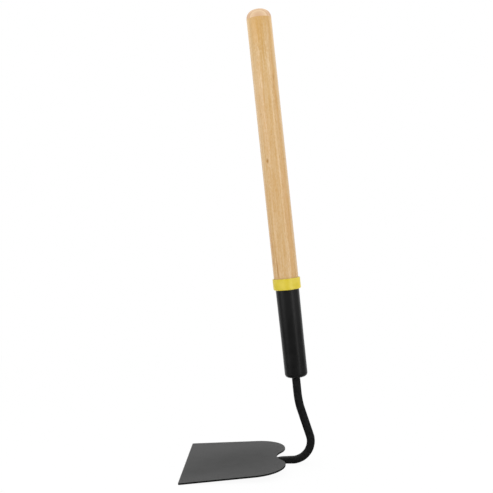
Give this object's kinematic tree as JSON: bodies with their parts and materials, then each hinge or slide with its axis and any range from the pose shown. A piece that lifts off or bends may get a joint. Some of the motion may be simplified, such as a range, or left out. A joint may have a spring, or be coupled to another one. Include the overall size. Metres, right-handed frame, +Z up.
{
  "type": "garden hoe",
  "caption": "Short garden hoe: round wooden handle, plastic collar, steel ferrule, and a bent steel shank welded under a flat blade with round shoulders.",
  "frame": {"origin": "on the ground under the middle of the hoe's box, with the hoe standing on its cutting edge and the heel of its shank", "axes": "+Z up; +X from the cutting edge towards the bend of the shank; Y across the blade, along the cutting edge"},
  "size_m": [0.1504, 0.1586, 0.5225],
  "materials": {
    "hardwood": "smooth turned, thin clear varnish",
    "yellow_plastic": "moulded, satin",
    "black_paint": "semi-gloss",
    "matt_black_steel": "matt, slightly rough",
    "grey_coated_steel": "satin",
    "painted_weld": "rippled, painted over"
  },
  "bodies": {
    "root": {"handle": "hardwood", "collar": "yellow_plastic", "ferrule": "black_paint", "shank": "matt_black_steel", "blade": "grey_coated_steel", "weld_left": "painted_weld", "weld_right": "painted_weld"}
  },
  "joints": []
}
